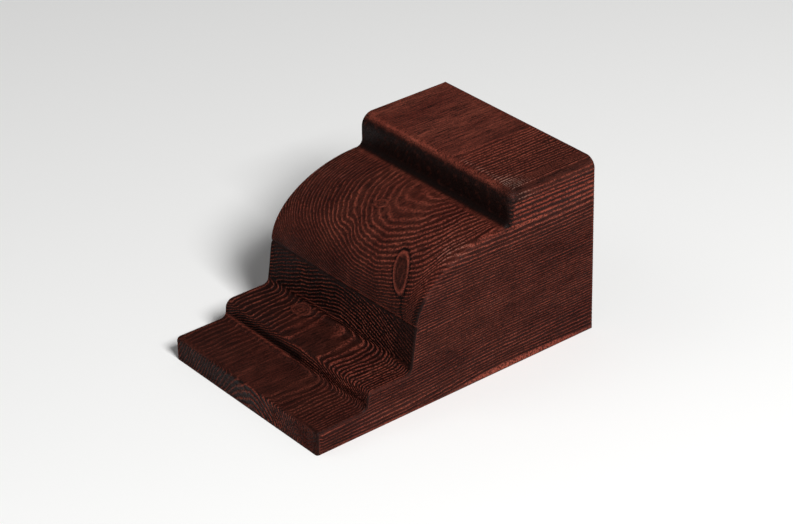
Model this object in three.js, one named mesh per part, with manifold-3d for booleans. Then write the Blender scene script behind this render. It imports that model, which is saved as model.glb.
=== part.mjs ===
// Wood-grained corbel for a beam end, cast in rigid foam in one piece.
// Millimetres, +Z up. The origin is the middle of the flat face that goes
// against the wall. The wall is the plane y = 0 and the corbel reaches towards -Y.
import * as THREE from 'three';
import { mergeVertices } from 'three/addons/utils/BufferGeometryUtils.js';
import Module from 'manifold-3d';

// Overall sizes
const WIDTH = 190;
const LENGTH = 293;
const HEIGHT = 162;

// Levels, measured up from the long flat face
const LIP_LEVEL = HEIGHT * 0.134;
const TREAD_LEVEL = HEIGHT * 0.2315;
const JOINT_LEVEL = HEIGHT * 0.469;
const OVOLO_SPRING = HEIGHT * 0.4525;
const OVOLO_TOP = HEIGHT * 0.8185;

// Depths, measured out from the wall
const LIP_RISER = LENGTH * 0.829;
const BAND_FOOT = LENGTH * 0.676;
const OVOLO_CENTRE = LENGTH * 0.331;
const OVOLO_REACH = LENGTH * 0.3245;
const BLOCK_FACE = LENGTH * 0.3157;

// Rounding of the corners that run across the width
const NOSE_RADIUS = LIP_LEVEL * 0.16;
const TREAD_RADIUS = (TREAD_LEVEL - LIP_LEVEL) * 0.5;
const COVE_RADIUS = (TREAD_LEVEL - LIP_LEVEL) * 0.33;
const BLOCK_RADIUS = (HEIGHT - OVOLO_TOP) * 0.39;
const BLOCK_COVE_RADIUS = (HEIGHT - OVOLO_TOP) * 0.2;

// Rounding of the edges along the two sides: worn on the right, crisp on the left
const EDGE_LOW = 2.4;
const EDGE_OVOLO = 4.6;
const EDGE_TOP = 9.6;
const LEFT_SHARE = 0.14;
const EDGE_STEPS = 4;

// Grain lines cut into the skin
const GRAIN_WIDTH = 2.2;
const GRAIN_DEPTH = 0.9;
const JOINT_WIDTH = 2.6;
const JOINT_DEPTH = 1.5;
const SIDE_LINES = 11;
const TOP_LINES = 11;
const OVOLO_RINGS = 9;
const RING_STEP = 8.5;
const KNOT_RINGS = 2;
const FOOT_LINES = 10;

const STAIN = 0x4a2419;

const mix = (a, b, t) => a + (b - a) * t;
const smooth = (a, b, t) => THREE.MathUtils.smoothstep(t, a, b);

// Profile in the y-z plane, from the foot of the nose up and back to the wall

// A corner rounded by a tangent arc between the two straight runs beside it
function roundedCorner(before, corner, after, radius, steps) {
  const into = before.clone().sub(corner).normalize();
  const out = after.clone().sub(corner).normalize();
  const half = Math.acos(THREE.MathUtils.clamp(into.dot(out), -1, 1)) / 2;
  const middle = into.clone().add(out).normalize();
  const centre = corner.clone().addScaledVector(middle, radius / Math.sin(half));
  const first = corner.clone().addScaledVector(into, radius / Math.tan(half)).sub(centre);
  const last = corner.clone().addScaledVector(out, radius / Math.tan(half)).sub(centre);
  const sweep = Math.PI - 2 * half;
  const points = [];
  for (let i = 0; i <= steps; i += 1) {
    const a = Math.sin((1 - i / steps) * sweep) / Math.sin(sweep);
    const b = Math.sin((i / steps) * sweep) / Math.sin(sweep);
    points.push(centre.clone().addScaledVector(first, a).addScaledVector(last, b));
  }
  return points;
}

function profilePoints() {
  const at = (depth, level) => new THREE.Vector2(-depth, level);
  const rise = OVOLO_TOP - OVOLO_SPRING;
  const onOvolo = (angle) => at(
    OVOLO_CENTRE + OVOLO_REACH * Math.cos(angle),
    OVOLO_SPRING + rise * Math.sin(angle),
  );
  const foot = Math.asin((JOINT_LEVEL - OVOLO_SPRING) / rise);
  const head = Math.acos(Math.max(0.01, (BLOCK_FACE + BLOCK_COVE_RADIUS - OVOLO_CENTRE) / OVOLO_REACH));

  const noseFoot = at(LENGTH, 0);
  const noseTop = at(LENGTH, LIP_LEVEL);
  const lipEnd = at(LIP_RISER, LIP_LEVEL);
  const treadEdge = at(LIP_RISER - 0.8, TREAD_LEVEL);
  const treadEnd = at(BAND_FOOT, TREAD_LEVEL);
  const bandTop = onOvolo(foot);
  const ovoloEnd = onOvolo(head);
  const blockFoot = at(BLOCK_FACE, ovoloEnd.y);
  const blockEdge = at(BLOCK_FACE, HEIGHT);
  const wallTop = at(0, HEIGHT);

  const points = [noseFoot];
  points.push(...roundedCorner(noseFoot, noseTop, lipEnd, NOSE_RADIUS, 4));
  points.push(...roundedCorner(noseTop, lipEnd, treadEdge, COVE_RADIUS, 4));
  points.push(...roundedCorner(lipEnd, treadEdge, treadEnd, TREAD_RADIUS, 5));
  points.push(...roundedCorner(treadEdge, treadEnd, bandTop, COVE_RADIUS, 4));
  const ovoloSteps = 18;
  for (let i = 0; i < ovoloSteps; i += 1) {
    points.push(onOvolo(mix(foot, head, i / ovoloSteps)));
  }
  points.push(...roundedCorner(ovoloEnd, blockFoot, blockEdge, BLOCK_COVE_RADIUS, 4));
  points.push(...roundedCorner(blockFoot, blockEdge, wallTop, BLOCK_RADIUS, 6));
  points.push(wallTop);
  return points;
}

const profile = profilePoints();

// Distance run along the profile up to each of its points
const runs = [0];
for (let i = 1; i < profile.length; i += 1) {
  runs.push(runs[i - 1] + profile[i].distanceTo(profile[i - 1]));
}

// Outward direction at each point of the profile
const outward = profile.map((point, i) => {
  const ahead = profile[Math.min(i + 1, profile.length - 1)];
  const behind = profile[Math.max(i - 1, 0)];
  const into = point.clone().sub(behind).normalize();
  const out = ahead.clone().sub(point).normalize();
  const along = into.add(out).normalize();
  return new THREE.Vector2(-along.y, along.x);
});

// The run along the profile at which it first comes up to a level
function runAtLevel(level) {
  for (let i = 1; i < profile.length; i += 1) {
    const rise = profile[i].y - profile[i - 1].y;
    if (rise > 1e-6 && profile[i].y >= level) {
      return mix(runs[i - 1], runs[i], (level - profile[i - 1].y) / rise);
    }
  }
  return runs[runs.length - 1];
}

// The run along the profile at which it first comes in to a depth from the wall
function runAtDepth(depth) {
  for (let i = 1; i < profile.length; i += 1) {
    const step = profile[i].x - profile[i - 1].x;
    if (step > 1e-6 && -profile[i].x <= depth) {
      return mix(runs[i - 1], runs[i], (-depth - profile[i - 1].x) / step);
    }
  }
  return runs[runs.length - 1];
}

// A point of the moulded face and its outward direction, from its place across and its run
function onFace(across, run) {
  let i = 1;
  while (i < runs.length - 1 && runs[i] < run) {
    i += 1;
  }
  const t = THREE.MathUtils.clamp((run - runs[i - 1]) / (runs[i] - runs[i - 1]), 0, 1);
  const place = profile[i - 1].clone().lerp(profile[i], t);
  const facing = outward[i - 1].clone().lerp(outward[i], t).normalize();
  return {
    point: new THREE.Vector3(across, place.x, place.y),
    normal: new THREE.Vector3(0, facing.x, facing.y),
  };
}

// Body: the profile carried across the width, with its side edges rounded off

// Side edge radius at a level: small on the steps, growing over the ovolo and the block
function edgeRadius(level) {
  const ovolo = mix(EDGE_LOW, EDGE_OVOLO, smooth(JOINT_LEVEL, OVOLO_TOP, level));
  const top = Math.min(EDGE_TOP, BLOCK_RADIUS * 0.88);
  const blockStart = mix(OVOLO_TOP, HEIGHT, 0.3);
  return level < blockStart ? ovolo : mix(ovolo, top, smooth(blockStart, HEIGHT, level));
}

function bodyGeometry() {
  const positions = [];
  const indices = [];
  const columns = 2 * (EDGE_STEPS + 1);

  profile.forEach((point, row) => {
    const radiusHere = Math.min(edgeRadius(point.y), point.y > LIP_LEVEL ? HEIGHT : NOSE_RADIUS * 0.85);
    for (let column = 0; column < columns; column += 1) {
      const right = column > EDGE_STEPS;
      const step = right ? columns - 1 - column : column;
      const angle = (1 - step / EDGE_STEPS) * Math.PI / 2;
      const radius = right ? radiusHere : radiusHere * LEFT_SHARE;
      const across = WIDTH / 2 - radius * (1 - Math.sin(angle));
      const inset = radius * (1 - Math.cos(angle));
      positions.push(
        right ? across : -across,
        point.x - outward[row].x * inset,
        point.y - outward[row].y * inset,
      );
    }
  });
  const last = profile.length - 1;
  for (let row = 0; row < last; row += 1) {
    for (let column = 0; column < columns - 1; column += 1) {
      const a = row * columns + column;
      const b = a + columns;
      indices.push(a, a + 1, b + 1);
      indices.push(a, b + 1, b);
    }
  }

  // Two foot corners on the wall close the sides, the wall face and the long flat face
  const leftFoot = positions.length / 3;
  const rightFoot = leftFoot + 1;
  positions.push(-WIDTH / 2, 0, 0);
  positions.push(WIDTH / 2, 0, 0);
  const placeOf = (index) => positions.slice(index * 3, index * 3 + 3);
  const closeFlat = (ring, u, v) => {
    const outline = ring.map((index) => new THREE.Vector2(placeOf(index)[u], placeOf(index)[v]));
    const reverse = THREE.ShapeUtils.isClockWise(outline);
    if (reverse) {
      ring.reverse();
      outline.reverse();
    }
    THREE.ShapeUtils.triangulateShape(outline, []).forEach(([a, b, c]) => {
      indices.push(...(reverse ? [ring[a], ring[c], ring[b]] : [ring[a], ring[b], ring[c]]));
    });
  };
  const rowIndices = (row) => Array.from({ length: columns }, (_, column) => row * columns + column);
  const columnIndices = (column) => profile.map((_, row) => row * columns + column);
  closeFlat([...columnIndices(0), leftFoot], 2, 1);
  closeFlat([rightFoot, ...columnIndices(columns - 1).reverse()], 2, 1);
  closeFlat([leftFoot, ...rowIndices(last), rightFoot], 0, 2);
  closeFlat([rightFoot, ...rowIndices(0).reverse(), leftFoot], 0, 1);

  const geometry = new THREE.BufferGeometry();
  geometry.setAttribute('position', new THREE.Float32BufferAttribute(positions, 3));
  geometry.setIndex(indices);
  return geometry;
}

// Cutter for one grain line: a wedge swept along stations on the skin.
// Where a station's share is 0 the wedge stands clear of the skin and the line dies out.
function lineCutter(stations, width, depth, closed) {
  const positions = [];
  const indices = [];
  const count = stations.length;
  const clear = depth * 0.8;
  stations.forEach((station, i) => {
    const ahead = closed ? stations[(i + 1) % count] : stations[Math.min(i + 1, count - 1)];
    const behind = closed ? stations[(i + count - 1) % count] : stations[Math.max(i - 1, 0)];
    const along = ahead.point.clone().sub(behind.point).normalize();
    const side = new THREE.Vector3().crossVectors(station.normal, along).normalize();
    const reach = mix(-clear * 0.75, depth, station.share);
    const half = (width / 2) * (1 + clear / depth);
    const top = station.point.clone().addScaledVector(station.normal, clear);
    const edge = station.point.clone().addScaledVector(station.normal, -reach);
    positions.push(...top.clone().addScaledVector(side, half));
    positions.push(...top.clone().addScaledVector(side, -half));
    positions.push(...edge);
  });
  const spans = closed ? count : count - 1;
  for (let i = 0; i < spans; i += 1) {
    const a = 3 * i;
    const b = 3 * ((i + 1) % count);
    for (let k = 0; k < 3; k += 1) {
      const next = (k + 1) % 3;
      indices.push(a + k, a + next, b + next);
      indices.push(a + k, b + next, b + k);
    }
  }
  if (!closed) {
    const end = 3 * (count - 1);
    indices.push(0, 2, 1);
    indices.push(end, end + 1, end + 2);
  }
  const geometry = new THREE.BufferGeometry();
  geometry.setAttribute('position', new THREE.Float32BufferAttribute(positions, 3));
  geometry.setIndex(indices);
  return geometry;
}

const cutters = [];

// Cuts a ring whole, or else as the arcs of it whose stations have a share in the skin
function cutRing(stations) {
  const count = stations.length;
  const gap = stations.findIndex(({ share }) => share === 0);
  if (gap < 0) {
    cutters.push(lineCutter(stations, GRAIN_WIDTH, GRAIN_DEPTH, true));
    return;
  }
  let arc = [stations[gap]];
  for (let i = 1; i <= count; i += 1) {
    const station = stations[(gap + i) % count];
    arc.push(station);
    if (station.share === 0) {
      if (arc.length > 3) {
        cutters.push(lineCutter(arc, GRAIN_WIDTH, GRAIN_DEPTH, false));
      }
      arc = [station];
    }
  }
}

// Long lines on the two sides, running with the timber from the front back to the wall
const sway = (seed, t) => 0.6 * Math.sin(seed * 2.3 + t * 4.1) + 0.4 * Math.sin(seed * 5.1 - t * 7.3);
const sidePitch = HEIGHT / (SIDE_LINES + 1);
for (const side of [-1, 1]) {
  for (let line = 1; line <= SIDE_LINES; line += 1) {
    const seed = line + side * 0.37;
    const level = sidePitch * (line + 0.3 * Math.sin(seed * 4.7));
    const swing = sidePitch * 0.18;
    const frontDepth = -onFace(0, runAtLevel(level + swing)).point.y;
    const start = frontDepth - 6;
    const spans = Math.max(2, Math.round(start / 60));
    const stations = [];
    for (let i = 0; i <= spans; i += 1) {
      const t = i / spans;
      const height = level + swing * sway(seed, t) - 0.02 * HEIGHT * t * Math.sin(seed);
      stations.push({
        point: new THREE.Vector3(side * WIDTH / 2, -mix(start, 5, t), height),
        normal: new THREE.Vector3(side, 0, 0),
        share: i === 0 || i === spans ? 0 : 1,
      });
    }
    const topClear = HEIGHT - edgeRadius(HEIGHT) - GRAIN_WIDTH * 2;
    if (stations.every(({ point }) => point.z > GRAIN_WIDTH * 2 && point.z < topClear)) {
      cutters.push(lineCutter(stations, GRAIN_WIDTH, GRAIN_DEPTH, false));
    }
  }
}

// Lines on the flat top of the block
const topPitch = WIDTH / (TOP_LINES + 1);
const topStart = BLOCK_FACE - BLOCK_RADIUS - 3;
for (let line = 1; line <= TOP_LINES; line += 1) {
  const stations = [];
  for (let i = 0; i <= 4; i += 1) {
    const t = i / 4;
    const across = -WIDTH / 2 + topPitch * (line - 0.35 + 0.25 * Math.sin(line * 3.9) + 0.22 * sway(line, t * 0.6));
    stations.push({
      point: new THREE.Vector3(across, -mix(topStart, 5, t), HEIGHT),
      normal: new THREE.Vector3(0, 0, 1),
      share: i === 0 || i === 4 ? 0 : 1,
    });
  }
  cutters.push(lineCutter(stations, GRAIN_WIDTH, GRAIN_DEPTH, false));
}

// A leaf-shaped knot low on the right of the ovolo, its tip leaning to the left
const jointRun = runAtLevel(JOINT_LEVEL);
const ovoloEndRun = runAtDepth(BLOCK_FACE + BLOCK_COVE_RADIUS);
const ovoloRun = ovoloEndRun - jointRun;
const knot = {
  across: 0.312 * WIDTH,
  run: runAtLevel(HEIGHT * 0.665),
  length: ovoloRun * 0.15,
  breadth: WIDTH * 0.036,
  lean: 2.2,
};
const fromKnot = (across, run) => {
  const along = (across - knot.across) * Math.cos(knot.lean) + (run - knot.run) * Math.sin(knot.lean);
  const aside = (run - knot.run) * Math.cos(knot.lean) - (across - knot.across) * Math.sin(knot.lean);
  return Math.hypot(along / knot.length, aside / knot.breadth);
};
for (let ring = 1; ring <= KNOT_RINGS; ring += 1) {
  const scale = ring / KNOT_RINGS;
  const stations = [];
  for (let i = 0; i < 12; i += 1) {
    const angle = (i / 12) * Math.PI * 2;
    const along = knot.length * scale * Math.cos(angle);
    const aside = knot.breadth * scale * Math.sin(angle) * (1 - 0.25 * Math.cos(angle));
    const across = knot.across + along * Math.cos(knot.lean) - aside * Math.sin(knot.lean);
    const run = knot.run + along * Math.sin(knot.lean) + aside * Math.cos(knot.lean);
    stations.push({ ...onFace(across, run), share: 1 });
  }
  cutters.push(lineCutter(stations, GRAIN_WIDTH, GRAIN_DEPTH, true));
}

// Growth rings cut through by the ovolo: ovals about an eye high on its crown,
// the outer ones left as arcs where they run off the ovolo or meet the knot
const eye = { across: -0.035 * WIDTH, run: runAtDepth(LENGTH * 0.474) };
for (let ring = 1; ring <= OVOLO_RINGS; ring += 1) {
  const wide = WIDTH * (0.015 + 0.054 * ring);
  const high = ovoloRun * (0.015 + 0.078 * ring);
  const middleRun = eye.run - ovoloRun * 0.02 * ring;
  const steps = Math.ceil((Math.PI * (wide + high)) / RING_STEP);
  const stations = [];
  for (let i = 0; i < steps; i += 1) {
    const angle = (i / steps) * Math.PI * 2;
    const wobble = 1 + 0.05 * Math.sin(3 * angle + 1.1) + 0.025 * Math.sin(5 * angle - 0.6);
    const across = eye.across + wide * wobble * Math.cos(angle);
    const run = middleRun + high * wobble * (Math.sin(angle) + 0.35 * Math.cos(angle));
    const inside = Math.abs(across) < WIDTH / 2 - EDGE_OVOLO - GRAIN_WIDTH
      && run > jointRun + JOINT_WIDTH * 2
      && run < ovoloEndRun - GRAIN_WIDTH
      && fromKnot(across, run) > 1.35;
    stations.push({ ...onFace(across, run), share: inside ? 1 : 0 });
  }
  cutRing(stations);
}

// Lines on the lip, the tread and the band below the ovolo: straight at the left,
// sweeping to the right where the timber's rings turn over
const footPitch = WIDTH / (FOOT_LINES + 1);
const treadDepth = LIP_RISER - TREAD_RADIUS - GRAIN_WIDTH;
const footFlats = [
  { from: runAtDepth(LENGTH - NOSE_RADIUS) + GRAIN_WIDTH, to: runAtDepth(LIP_RISER + COVE_RADIUS) - GRAIN_WIDTH },
  { from: runAtDepth(treadDepth), to: runAtDepth(BAND_FOOT + COVE_RADIUS) - GRAIN_WIDTH },
  { from: runAtLevel(TREAD_LEVEL + COVE_RADIUS + GRAIN_WIDTH), to: jointRun - JOINT_WIDTH * 1.5 },
];
footFlats.forEach(({ from, to }, flat) => {
  for (let line = 1; line <= FOOT_LINES; line += 1) {
    const turned = smooth(0.3 - 0.2 * flat, 0.9, line / FOOT_LINES);
    const sweep = footPitch * (0.1 + (0.6 + 0.7 * flat) * turned);
    const stations = [];
    for (let i = 0; i <= 4; i += 1) {
      const t = i / 4;
      const offset = 0.25 * Math.sin(line * 3.1 + flat) - 0.4 + 0.8 * flat * turned;
      const across = -WIDTH / 2 + footPitch * (line + offset) + sweep * t * t;
      const inside = across < WIDTH / 2 - EDGE_LOW - GRAIN_WIDTH && i > 0 && i < 4;
      stations.push({ ...onFace(across, mix(from, to, t)), share: inside ? 1 : 0 });
    }
    cutters.push(lineCutter(stations, GRAIN_WIDTH, GRAIN_DEPTH, false));
  }
});

// Cut line across the front where two timbers meet, below the ovolo
cutters.push(lineCutter(
  [-1, 1].map((side) => ({ ...onFace(side * (WIDTH / 2 + 4), jointRun), share: 1 })),
  JOINT_WIDTH,
  JOINT_DEPTH,
  false,
));

const wasm = await Module();
wasm.setup();

function toManifold(geometry) {
  const merged = mergeVertices(geometry, 1e-5);
  return new wasm.Manifold(new wasm.Mesh({
    numProp: 3,
    vertProperties: merged.attributes.position.array,
    triVerts: new Uint32Array(merged.index.array),
  }));
}

let solid = toManifold(bodyGeometry());
for (const cutter of cutters) {
  solid = solid.subtract(toManifold(cutter));
}

const cut = solid.getMesh();
const geometry = new THREE.BufferGeometry();
geometry.setAttribute('position', new THREE.BufferAttribute(new Float32Array(cut.vertProperties), 3));
geometry.setIndex(new THREE.BufferAttribute(new Uint32Array(cut.triVerts), 1));
geometry.translate(0, 0, -HEIGHT / 2);
geometry.computeVertexNormals();

const corbel = new THREE.Mesh(
  geometry,
  new THREE.MeshStandardMaterial({ color: STAIN, roughness: 0.42, metalness: 0 }),
);
corbel.name = 'corbel';

const group = new THREE.Group();
group.name = 'corbel_part';
group.add(corbel);

export default group;
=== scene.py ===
from collections import namedtuple
import math

import bmesh
import bpy
import numpy as np
from mathutils import Matrix, Vector


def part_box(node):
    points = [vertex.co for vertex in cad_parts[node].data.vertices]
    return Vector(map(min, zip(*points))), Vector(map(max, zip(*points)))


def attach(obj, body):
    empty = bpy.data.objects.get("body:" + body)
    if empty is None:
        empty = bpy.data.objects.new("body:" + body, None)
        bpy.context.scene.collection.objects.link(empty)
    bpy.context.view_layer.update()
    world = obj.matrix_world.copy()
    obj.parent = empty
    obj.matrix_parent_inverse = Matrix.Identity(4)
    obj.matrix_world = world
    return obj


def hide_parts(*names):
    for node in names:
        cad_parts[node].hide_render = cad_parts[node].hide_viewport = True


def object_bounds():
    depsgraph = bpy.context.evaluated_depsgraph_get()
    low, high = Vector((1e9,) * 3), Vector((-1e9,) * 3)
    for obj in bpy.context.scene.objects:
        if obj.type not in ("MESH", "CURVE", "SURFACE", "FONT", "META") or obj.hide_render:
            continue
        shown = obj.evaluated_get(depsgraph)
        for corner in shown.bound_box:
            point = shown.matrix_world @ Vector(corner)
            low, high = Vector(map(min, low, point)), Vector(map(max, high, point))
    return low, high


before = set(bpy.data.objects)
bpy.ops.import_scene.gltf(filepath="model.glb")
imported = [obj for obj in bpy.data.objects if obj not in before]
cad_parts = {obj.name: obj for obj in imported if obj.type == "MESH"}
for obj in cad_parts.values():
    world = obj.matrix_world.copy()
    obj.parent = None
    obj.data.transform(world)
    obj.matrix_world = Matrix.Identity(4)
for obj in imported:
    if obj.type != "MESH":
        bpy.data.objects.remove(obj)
solid_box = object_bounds()

MM = 0.001
corner_low, corner_high = (np.array(corner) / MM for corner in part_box("corbel"))
WIDTH, LENGTH, HEIGHT = corner_high - corner_low
HALF_WIDTH = WIDTH / 2.0

# Moulded profile: levels up from the long flat face and depths out from the wall, in mm
LIP_LEVEL = HEIGHT * 0.134
TREAD_LEVEL = HEIGHT * 0.2315
JOINT_LEVEL = HEIGHT * 0.469
OVOLO_SPRING = HEIGHT * 0.4525
OVOLO_TOP = HEIGHT * 0.8185
OVOLO_RISE = OVOLO_TOP - OVOLO_SPRING
LIP_RISER = LENGTH * 0.829
RISER_LEAN = 0.8
BAND_FOOT = LENGTH * 0.676
OVOLO_CENTRE = LENGTH * 0.331
OVOLO_REACH = LENGTH * 0.3245
BLOCK_FACE = LENGTH * 0.3157
NOSE_RADIUS = LIP_LEVEL * 0.16
TREAD_RADIUS = (TREAD_LEVEL - LIP_LEVEL) * 0.5
COVE_RADIUS = (TREAD_LEVEL - LIP_LEVEL) * 0.33
BLOCK_RADIUS = (HEIGHT - OVOLO_TOP) * 0.39
BLOCK_COVE_RADIUS = (HEIGHT - OVOLO_TOP) * 0.2

# Radii of the worn right edges, in mm: in the lower plank, at the ovolo's top and at the block's top.
# They start to grow faster part of the way up the block, and the left edges have a small share.
EDGE_LOW, EDGE_OVOLO, EDGE_TOP = 2.4, 4.6, 9.6
BLOCK_WEAR_LEVEL = OVOLO_TOP + (HEIGHT - OVOLO_TOP) * 0.3
NOSE_EDGE = NOSE_RADIUS * 0.85
LEFT_SHARE = 0.14

# Grain, in mm: most of the cast rings lie 2.5 to 6 mm apart, and all are under a millimetre deep
RING_DEPTH, RING_SHARPNESS = 0.9, 1.9
FIBRE_DEPTH, FIBRE_WIDTH = 0.18, 1.1
JOINT_WIDTH, JOINT_DEPTH = 2.4, 1.0
MARK_DEPTH = 0.4
GRAIN_SEED = 7.0

# Mesh: grid steps over the moulded face and down the sides, and the strip along the wall face and
# the face below that is struck off flat, in mm, and how many points draw each rounding
MESH_STEP = 0.74
SIDE_STEP = 0.62
STRUCK_OFF = 0.4
CORNER_POINTS, OVOLO_POINTS = 11, 90
LEFT_EDGE_POINTS, RIGHT_EDGE_POINTS = 4, 12
MOST_TRIANGLES = 194000
WELD_DISTANCE = 2e-6
SKIN_VALUES = ("ring", "relief", "mark", "stain_and_shade", "painted_glint")


def smooth(low, high, value):
    """A soft step from 0 at low to 1 at high, whichever of the two is the larger."""
    t = np.clip((value - low) / (high - low), 0.0, 1.0)
    return t * t * (3.0 - 2.0 * t)


def mix(a, b, share):
    """a where the share is 0, and b where it is 1."""
    return a + (b - a) * share


def zone(value, start, end, fade):
    """1 from start to end, falling softly to 0 over the fade on both sides."""
    return smooth(start - fade, start, value) * smooth(end + fade, end, value)


def spot(a, b, centre, reach_a, reach_b):
    """A soft oval spot, 1 at its centre."""
    return np.exp(-((a - centre[0]) / reach_a) ** 2 - ((b - centre[1]) / reach_b) ** 2)


def soft_line(value, place, width):
    """A soft line, 1 at its place and nearly 0 two widths away."""
    return np.exp(-((value - place) / width) ** 2)


# Profile


def rounded_corner(before, corner, after, radius):
    """Points along the arc that rounds the corner between two straight lines."""
    into = (before - corner) / np.linalg.norm(before - corner)
    out = (after - corner) / np.linalg.norm(after - corner)
    half = math.acos(float(np.clip(into @ out, -1.0, 1.0))) / 2.0
    middle = (into + out) / np.linalg.norm(into + out)
    centre = corner + middle * radius / math.sin(half)
    first = corner + into * radius / math.tan(half) - centre
    last = corner + out * radius / math.tan(half) - centre
    sweep = math.pi - 2.0 * half
    share = np.linspace(0.0, 1.0, CORNER_POINTS)[:, None]
    turned = np.sin((1.0 - share) * sweep) * first + np.sin(share * sweep) * last
    return centre + turned / math.sin(sweep)


def profile_corners():
    """The moulded outline from the foot of the nose up and back to the wall, as (y, level)."""
    def at(depth, level):
        return np.array([-depth, level])

    def on_ovolo(angle):
        return at(
            OVOLO_CENTRE + OVOLO_REACH * math.cos(angle),
            OVOLO_SPRING + OVOLO_RISE * math.sin(angle),
        )

    foot = math.asin((JOINT_LEVEL - OVOLO_SPRING) / OVOLO_RISE)
    head = math.acos((BLOCK_FACE + BLOCK_COVE_RADIUS - OVOLO_CENTRE) / OVOLO_REACH)
    nose_foot, nose_top = at(LENGTH, 0.0), at(LENGTH, LIP_LEVEL)
    lip_end, tread_edge = at(LIP_RISER, LIP_LEVEL), at(LIP_RISER - RISER_LEAN, TREAD_LEVEL)
    tread_end, band_top = at(BAND_FOOT, TREAD_LEVEL), on_ovolo(foot)
    ovolo_end = on_ovolo(head)
    block_foot, block_edge = at(BLOCK_FACE, ovolo_end[1]), at(BLOCK_FACE, HEIGHT)
    wall_top = at(0.0, HEIGHT)
    return np.vstack([
        [nose_foot],
        rounded_corner(nose_foot, nose_top, lip_end, NOSE_RADIUS),
        rounded_corner(nose_top, lip_end, tread_edge, COVE_RADIUS),
        rounded_corner(lip_end, tread_edge, tread_end, TREAD_RADIUS),
        rounded_corner(tread_edge, tread_end, band_top, COVE_RADIUS),
        [on_ovolo(angle) for angle in np.linspace(foot, head, OVOLO_POINTS)[:-1]],
        rounded_corner(ovolo_end, block_foot, block_edge, BLOCK_COVE_RADIUS),
        rounded_corner(block_foot, block_edge, wall_top, BLOCK_RADIUS),
        [wall_top],
    ])


# The same outline at even steps, with its distance along the profile ("run") and its outward direction
corners = profile_corners()
corner_steps = np.linalg.norm(np.diff(corners, axis=0), axis=1)
corner_runs = np.concatenate([[0.0], np.cumsum(corner_steps)])
runs = np.linspace(0.0, corner_runs[-1], int(corner_runs[-1] / MESH_STEP))
profile_y = np.interp(runs, corner_runs, corners[:, 0])
profile_level = np.interp(runs, corner_runs, corners[:, 1])
along = np.stack([np.gradient(profile_y), np.gradient(profile_level)], axis=1)
along /= np.linalg.norm(along, axis=1)[:, None]
facing_y, facing_up = -along[:, 1], along[:, 0]


def run_at_level(level):
    return float(np.interp(level, profile_level, runs))


def run_at_depth(depth):
    return float(np.interp(-depth, profile_y, runs))


# Where the mouldings lie along the profile, in mm
RUN_NOSE = run_at_level(LIP_LEVEL - 0.5)
RUN_RISER = run_at_depth(LIP_RISER + COVE_RADIUS)
RUN_TREAD = run_at_depth(LIP_RISER - TREAD_RADIUS)
RUN_BAND = run_at_depth(BAND_FOOT + COVE_RADIUS)
RUN_JOINT = run_at_level(JOINT_LEVEL)
RUN_COVE = run_at_depth(BLOCK_FACE + BLOCK_COVE_RADIUS)
RUN_BLOCK = run_at_depth(BLOCK_FACE - BLOCK_RADIUS)
RUN_END = runs[-1]


# Skin of the corbel: the moulded face and the two sides


def edge_radius(level):
    """Radius of the worn right edge, which grows up the ovolo and fastest up the block."""
    radius = mix(EDGE_LOW, EDGE_OVOLO, smooth(JOINT_LEVEL, OVOLO_TOP, level))
    radius = mix(radius, EDGE_TOP, smooth(BLOCK_WEAR_LEVEL, HEIGHT, level))
    return np.where(level <= LIP_LEVEL, np.minimum(radius, NOSE_EDGE), radius)


def moulded_face():
    """A grid of points over the profile and across the width, its side edges rounded off.

    Gives the points as (x, y, level), and the run of each.
    """
    right_radius = edge_radius(profile_level)[:, None]
    left_radius = right_radius * LEFT_SHARE
    turn_right = np.linspace(0.0, math.pi / 2.0, RIGHT_EDGE_POINTS)[None, :]
    turn_left = np.linspace(math.pi / 2.0, 0.0, LEFT_EDGE_POINTS)[None, :]
    left = -HALF_WIDTH + left_radius * (1.0 - np.sin(turn_left))
    right = HALF_WIDTH - right_radius * (1.0 - np.sin(turn_right))
    share = np.linspace(0.0, 1.0, int(WIDTH / MESH_STEP))[None, 1:-1]
    middle = mix(left[:, -1:], right[:, :1], share)
    across = np.hstack([left, middle, right])
    inset = np.hstack([
        left_radius * (1.0 - np.cos(turn_left)),
        np.zeros_like(middle),
        right_radius * (1.0 - np.cos(turn_right)),
    ])
    y = profile_y[:, None] - facing_y[:, None] * inset
    level = profile_level[:, None] - facing_up[:, None] * inset
    run = np.broadcast_to(runs[:, None], across.shape)
    return np.stack([across, y, level], axis=2), run


def side_face(face_edge):
    """A grid from each point of a moulded edge down to the foot of that side.

    The feet lie a little wider apart at the nose than at the wall.
    """
    foot_y = face_edge[0, 1] * (1.0 - np.linspace(0.0, 1.0, len(face_edge)) ** 0.8)
    foot = np.stack([face_edge[:, 0], foot_y, np.zeros(len(face_edge))], axis=1)
    share = np.linspace(0.0, 1.0, int(HEIGHT / SIDE_STEP))[1:, None]
    return mix(face_edge[:, None, :], foot[:, None, :], share[None, :, :])


# Growth rings: how many rings each point of the skin lies from the start of its pattern.
# The master was two planks glued one on the other, and each is cut through its own rings.
# Places and spacings are in mm, read off the photograph.

Knot = namedtuple("Knot", "centre length breadth lean")

# Oval knots: centre as (x, run), half length, half breadth, and the long axis's turn in radians
OVOLO_KNOT = Knot((57.8, 198.0), 18.4, 6.8, 2.19)
SMALL_KNOT = Knot((-12.0, 240.8), 5.6, 4.6, 0.5)
TREAD_KNOT = Knot((-41.0, 119.6), 9.5, 6.8, 0.0)
NOSE_KNOT = Knot((-6.3, 15.4), 4.5, 3.2, 0.3)

# Upper plank: x of its heart, its ring spacing to the right and left of that, how many rings rise
# over the ovolo's foot, the run over which they fade, and how round the arcs turn their corners
UPPER_HEART = 10.0
UPPER_RIGHT_SPACING, UPPER_LEFT_SPACING = 4.75, 5.2
ARC_RINGS, ARC_FADE = 25.0, 50.0
ARC_POWER = 1.8

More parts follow.
